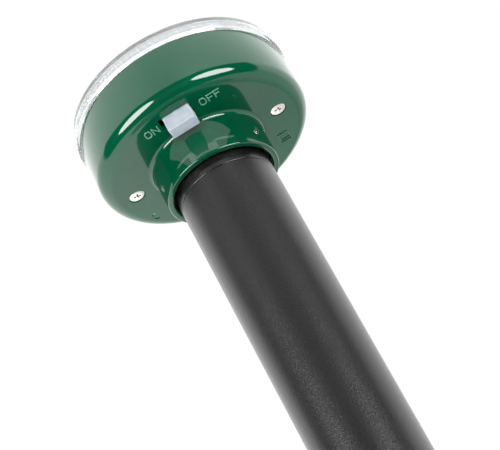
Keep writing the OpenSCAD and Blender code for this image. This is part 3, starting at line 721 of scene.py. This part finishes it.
# Black ABS of the lever, the tray and the speaker's holder: fine spark-eroded texture
black_abs = moulded_plastic("black_textured_abs", "#161617", "#1E1E20", 0.45, 0.5, 0.02, 1.53)
finish(black_abs, "switch_lever", "battery_tray", "speaker_holder")
# Epoxy of the chip and the resistors: dull charcoal
epoxy = moulded_plastic("moulded_epoxy", "#1A1A1C", "#242427", 0.55, 0.3, 0.01, 1.55)
finish(epoxy, "driver_chip", "resistors")
# Sintered ferrite: grey-brown and ceramic
ferrite = moulded_plastic("sintered_ferrite", "#2C2A2A", "#3A3736", 0.5, 0.3, 0.02, 2.2)
finish(ferrite, "boost_inductor", "speaker_magnet")
# Heat-shrunk sleeves of the capacitors: smooth coloured film without lettering
navy_sleeve = moulded_plastic("navy_shrink_sleeve", "#18213B", "#202C4C", 0.3, 1.5, 0.02, 1.54)
finish(navy_sleeve, "capacitors")
# Pressed paper pulp of the cone: fibres half a millimetre long
pulp = moulded_plastic("pressed_paper_pulp", "#262524", "#35322F", 0.85, 0.5, 0.08, 1.45)
finish(pulp, "speaker_cone")
# PVC insulation of the leads
for name, dark, light in (
    ("panel_leads", "#8E1717", "#A31E1C"), ("battery_leads", "#8E1717", "#A31E1C"),
    ("switch_leads", "#C9C7BE", "#D6D4CC"), ("speaker_leads", "#1B2450", "#232D5E"),
):
    finish(moulded_plastic(name + "_pvc", dark, light, 0.38, 0.8, 0.01, 1.53), name)

finish(nickel, "board_screws", "switch_screws", "strap_screws")


def rolled_metal(name, base, roughness, streak_mm):
    """A rolled or drawn metal: streaks along Y, of the given width, in its gloss and its surface."""
    made, tree, shader = material(name)
    where = add(tree, "TexCoord", {}).outputs["Object"]
    long_ways = add(tree, "Mapping", {"Scale": (1, 0.06, 1)}, {"Vector": where})
    streaks = add(tree, "TexNoise", {"Scale": 1 / (streak_mm * MM), "Detail": 3},
                  {"Vector": long_ways.outputs["Vector"]})
    shine = add(tree, "MapRange", {"To Min": roughness * 0.7, "To Max": roughness * 1.4},
                {"Value": streaks.outputs["Fac"]})
    lines = add(tree, "Bump", {"Strength": 1, "Distance": 0.01 * MM}, {"Height": streaks.outputs["Fac"]})
    tree.links.new(shader.inputs["Roughness"], shine.outputs["Result"])
    tree.links.new(shader.inputs["Normal"], lines.outputs["Normal"])
    shader.inputs["Base Color"].default_value = colour(base)
    shader.inputs["Metallic"].default_value = 1
    return made


# Galvanised sheet of the switch, strap, tabs and basket, and tinned copper of the ribbons and terminals
galvanised = rolled_metal("galvanised_sheet_steel", "#B9BCBF", 0.32, 0.5)
finish(galvanised, "switch_body", "battery_tabs", "battery_strap", "speaker_basket")
tinned = rolled_metal("tinned_copper_ribbon", "#D8DADC", 0.25, 0.2)
finish(tinned, "cell_ribbons", "switch_terminals")

# ---- Solar cells ----------------------------------------------------------------------------------
# Ten strips cut from blue polycrystalline silicon wafers. Crystals 3 mm across differ in shade, and fine
# silver fingers cross each strip every 2 mm, under a thin coat of clear resin.
silicon, tree, shader = material("blue_polycrystalline_silicon")
where = add(tree, "TexCoord", {}).outputs["Object"]
flat = add(tree, "Mapping", {"Scale": (1, 1, 0)}, {"Vector": where})
crystals = add(tree, "TexVoronoi", {"Scale": 1 / (3 * MM), "Randomness": 1},
               {"Vector": flat.outputs["Vector"]})
shades = add(tree, "SeparateColor", {}, {"Color": crystals.outputs["Color"]})
blue = add(tree, "ValToRGB", {}, {"Fac": shades.outputs["Red"]})
blue.color_ramp.elements[0].color = colour("#0A1640")
blue.color_ramp.elements[1].color = colour("#1B3474")
apart = add(tree, "SeparateXYZ", {}, {"Vector": where})
pitch = add(tree, "Math", {"operation": "MULTIPLY", 1: 1 / (2 * MM)}, {0: apart.outputs["Y"]})
phase = add(tree, "Math", {"operation": "FRACT"}, {0: pitch.outputs["Value"]})
finger = add(tree, "Math", {"operation": "LESS_THAN", 1: 0.07}, {0: phase.outputs["Value"]})
strip_colour = add(tree, "MixRGB", {"Color2": colour("#AEB4BC")},
                   {"Fac": finger.outputs["Value"], "Color1": blue.outputs["Color"]})
tree.links.new(shader.inputs["Base Color"], strip_colour.outputs["Color"])
shader.inputs["Roughness"].default_value = 0.3
shader.inputs["Coat Weight"].default_value = 1
shader.inputs["Coat Roughness"].default_value = 0.08
finish(silicon, "solar_cells")

# ---- Main board -----------------------------------------------------------------------------------
# The driver board is glass epoxy under green solder resist, with tracks 1 mm wide that show paler.
resist, tree, shader = material("green_solder_resist")
where = add(tree, "TexCoord", {}).outputs["Object"]
tracks = add(tree, "TexBrick", {
    "Scale": 1 / (10 * MM), "Mortar Size": 0.06, "Brick Width": 0.9, "Row Height": 0.35,
    "Color1": colour("#0E4A26"), "Color2": colour("#115229"), "Mortar": colour("#1D6A36"),
}, {"Vector": where})
raised = add(tree, "Bump", {"Strength": 1, "Distance": 0.03 * MM}, {"Height": tracks.outputs["Fac"]})
tree.links.new(shader.inputs["Base Color"], tracks.outputs["Color"])
tree.links.new(shader.inputs["Normal"], raised.outputs["Normal"])
shader.inputs["Roughness"].default_value = 0.28
finish(resist, "main_board")

# ---- Battery cells --------------------------------------------------------------------------------
# Four AA cells, each a steel can in a plain green sleeve. The can shows at both ends, which face along Y.
cell_skin, tree, shader = material("sleeved_battery_cell")
facing = add(tree, "SeparateXYZ", {}, {"Vector": add(tree, "TexCoord", {}).outputs["Normal"]})
along = add(tree, "Math", {"operation": "ABSOLUTE"}, {0: facing.outputs["Y"]})
bare = add(tree, "Math", {"operation": "GREATER_THAN", 1: 0.6}, {0: along.outputs["Value"]})
wrap = add(tree, "MixRGB", {"Color1": colour("#2F6B45"), "Color2": colour("#C4C6C8")},
           {"Fac": bare.outputs["Value"]})
tree.links.new(shader.inputs["Base Color"], wrap.outputs["Color"])
tree.links.new(shader.inputs["Metallic"], bare.outputs["Value"])
shader.inputs["Roughness"].default_value = 0.3
finish(cell_skin, "battery_cells")

# ---- Floor, light and camera ----------------------------------------------------------------------
# The stake stands on a small round of pale floor in a white studio. The front half of the room is dark
# below head height, where the camera stands, and two softboxes stand in it.
bpy.ops.object.select_all(action="DESELECT")
floor_r = 0.16
bpy.ops.mesh.primitive_circle_add(vertices=128, radius=floor_r, fill_type="NGON", location=(0, 0, 0))
floor = added("studio_floor")
pale, tree, shader = material("pale_studio_floor")
where = add(tree, "TexCoord", {}).outputs["Object"]
scuffs = add(tree, "TexNoise", {"Scale": 1 / (60 * MM), "Detail": 4}, {"Vector": where})
dull = add(tree, "MapRange", {"To Min": 0.7, "To Max": 0.85}, {"Value": scuffs.outputs["Fac"]})
tree.links.new(shader.inputs["Roughness"], dull.outputs["Result"])
shader.inputs["Base Color"].default_value = colour("#F1F1EF")
coat(floor, pale)

world = bpy.data.worlds.new("studio")
bpy.context.scene.world = world
world.use_nodes = True
tree = world.node_tree
look = add(tree, "SeparateXYZ", {}, {"Vector": add(tree, "TexCoord", {}).outputs["Generated"]})
# The dark part lies towards -Y, but not straight down, and ends 36 degrees up, a little lower in its middle
under = add(tree, "MapRange",
            {"interpolation_type": "SMOOTHSTEP", "From Min": -0.4, "From Max": -0.8, "To Max": 0.24},
            {"Value": look.outputs["Z"]})
ahead = add(tree, "Math", {"operation": "ADD"}, {0: look.outputs["Y"], 1: under.outputs["Result"]})
front = add(tree, "MapRange", {"interpolation_type": "SMOOTHSTEP", "From Min": 0.08, "From Max": -0.03},
            {"Value": ahead.outputs["Value"]})
aside = add(tree, "Math", {"operation": "ABSOLUTE"}, {0: look.outputs["X"]})
middle = add(tree, "MapRange",
             {"interpolation_type": "SMOOTHSTEP", "From Min": 0.45, "From Max": 0.38, "To Max": 0.05},
             {"Value": aside.outputs["Value"]})
height = add(tree, "Math", {"operation": "ADD"}, {0: look.outputs["Z"], 1: middle.outputs["Result"]})
low = add(tree, "MapRange", {"interpolation_type": "SMOOTHSTEP", "From Min": 0.592, "From Max": 0.582},
          {"Value": height.outputs["Value"]})
dark = add(tree, "Math", {"operation": "MULTIPLY"}, {0: front.outputs["Result"], 1: low.outputs["Result"]})
# The background itself stays white, and through the window the dark part is about half as dark
path = add(tree, "LightPath", {})
through = add(tree, "Math", {"operation": "MULTIPLY", 1: 0.45}, {0: path.outputs["Is Transmission Ray"]})
seen = add(tree, "Math", {"operation": "MAXIMUM"},
           {0: path.outputs["Is Camera Ray"], 1: through.outputs["Value"]})
unseen = add(tree, "Math", {"operation": "SUBTRACT", 0: 1.0}, {1: seen.outputs["Value"]})
shown = add(tree, "Math", {"operation": "MULTIPLY"}, {0: dark.outputs["Value"], 1: unseen.outputs["Value"]})
room = add(tree, "MixRGB", {"Color1": colour("#FFFFFF"), "Color2": colour("#1E1E20")},
           {"Fac": shown.outputs["Value"]})
# The room is brightest at its sides. Behind and below it falls off to the right
wash = add(tree, "MapRange", {"From Min": 0.05, "From Max": 0.5, "To Min": 1.3, "To Max": 1.75},
           {"Value": aside.outputs["Value"]})
below = add(tree, "MapRange", {"From Min": -0.1, "From Max": -0.3}, {"Value": look.outputs["Z"]})
drop = add(tree, "MapRange", {"From Min": -0.12, "From Max": 0.01, "To Min": -0.1, "To Max": 0.6},
           {"Value": look.outputs["X"]})
shade = add(tree, "Math", {"operation": "MULTIPLY"}, {0: below.outputs["Result"], 1: drop.outputs["Result"]})
lit = add(tree, "Math", {"operation": "SUBTRACT"}, {0: wash.outputs["Result"], 1: shade.outputs["Value"]})
# After two bounces the room is dimmer, which deepens what the gloss mirrors of itself
again = add(tree, "MapRange", {"From Min": 2, "From Max": 3, "To Min": 1, "To Max": 0.35},
            {"Value": path.outputs["Ray Depth"]})
kept = add(tree, "Math", {"operation": "MAXIMUM"},
           {0: again.outputs["Result"], 1: path.outputs["Is Transmission Ray"]})
dimmed = add(tree, "Math", {"operation": "MULTIPLY"}, {0: lit.outputs["Value"], 1: kept.outputs["Value"]})
bright = add(tree, "MapRange", {"To Min": 1.0},
             {"Value": unseen.outputs["Value"], "To Max": dimmed.outputs["Value"]})
tree.links.new(tree.nodes["Background"].inputs["Color"], room.outputs["Color"])
tree.links.new(tree.nodes["Background"].inputs["Strength"], bright.outputs["Result"])


def area_light(name, azimuth, elevation, distance, width, height, power):
    """An elliptical light that looks at the head from azimuth and elevation, in degrees. Azimuth 0 is -Y."""
    turn, rise = math.radians(azimuth), math.radians(elevation)
    away = Vector((math.sin(turn) * math.cos(rise), -math.cos(turn) * math.cos(rise), math.sin(rise)))
    bpy.ops.object.light_add(type="AREA", location=Vector((0, 0, under_z)) + away * distance)
    light = bpy.context.object
    light.name = name
    light.rotation_euler = away.to_track_quat("Z", "Y").to_euler()
    light.data.shape = "ELLIPSE"
    light.data.size = width
    light.data.size_y = height
    light.data.energy = power
    light.visible_camera = False
    return light


# The softboxes make the highlights, and a broad weak fill between them lights the colours
softbox_rise = -8
softbox_away = 3
softbox_height = 1.95
for name, azimuth, width, power in (("softbox_left", -38, 2.5, 180), ("softbox_right", 45, 2.25, 160)):
    softbox = area_light(name, azimuth, softbox_rise, softbox_away, width, softbox_height, power)
    softbox.visible_diffuse = False
front_fill = area_light("front_fill", 3, -18, 1.5, 1.3, 0.9, 23)
front_fill.visible_glossy = False

# A small card lies just under the head and shows only as a pale sheen on the front of the collar
card_x = 3
card_y = -43
card_w = 58
card_d = 26
bpy.ops.object.light_add(type="AREA", location=(card_x * MM, card_y * MM, under_z - MM))
card = bpy.context.object
card.name = "card_under_head"
card.data.shape = "RECTANGLE"
card.data.size = card_w * MM
card.data.size_y = card_d * MM
card.data.energy = 0.0046
card.visible_camera = False
card.visible_diffuse = False
card.visible_transmission = False

# The camera looks up at the head from a metre away, tilted, through a long lens
camera_place = (0.0748, -0.8279, under_z - 0.5664)
camera_turn = (125.42, 24.14, 21.29)
bpy.ops.object.camera_add(location=camera_place)
camera = bpy.context.object
camera.rotation_euler = [math.radians(a) for a in camera_turn]
camera.data.lens = 146.4
camera.data.sensor_width = 36
bpy.context.scene.camera = camera
bpy.context.scene.view_settings.view_transform = "Standard"
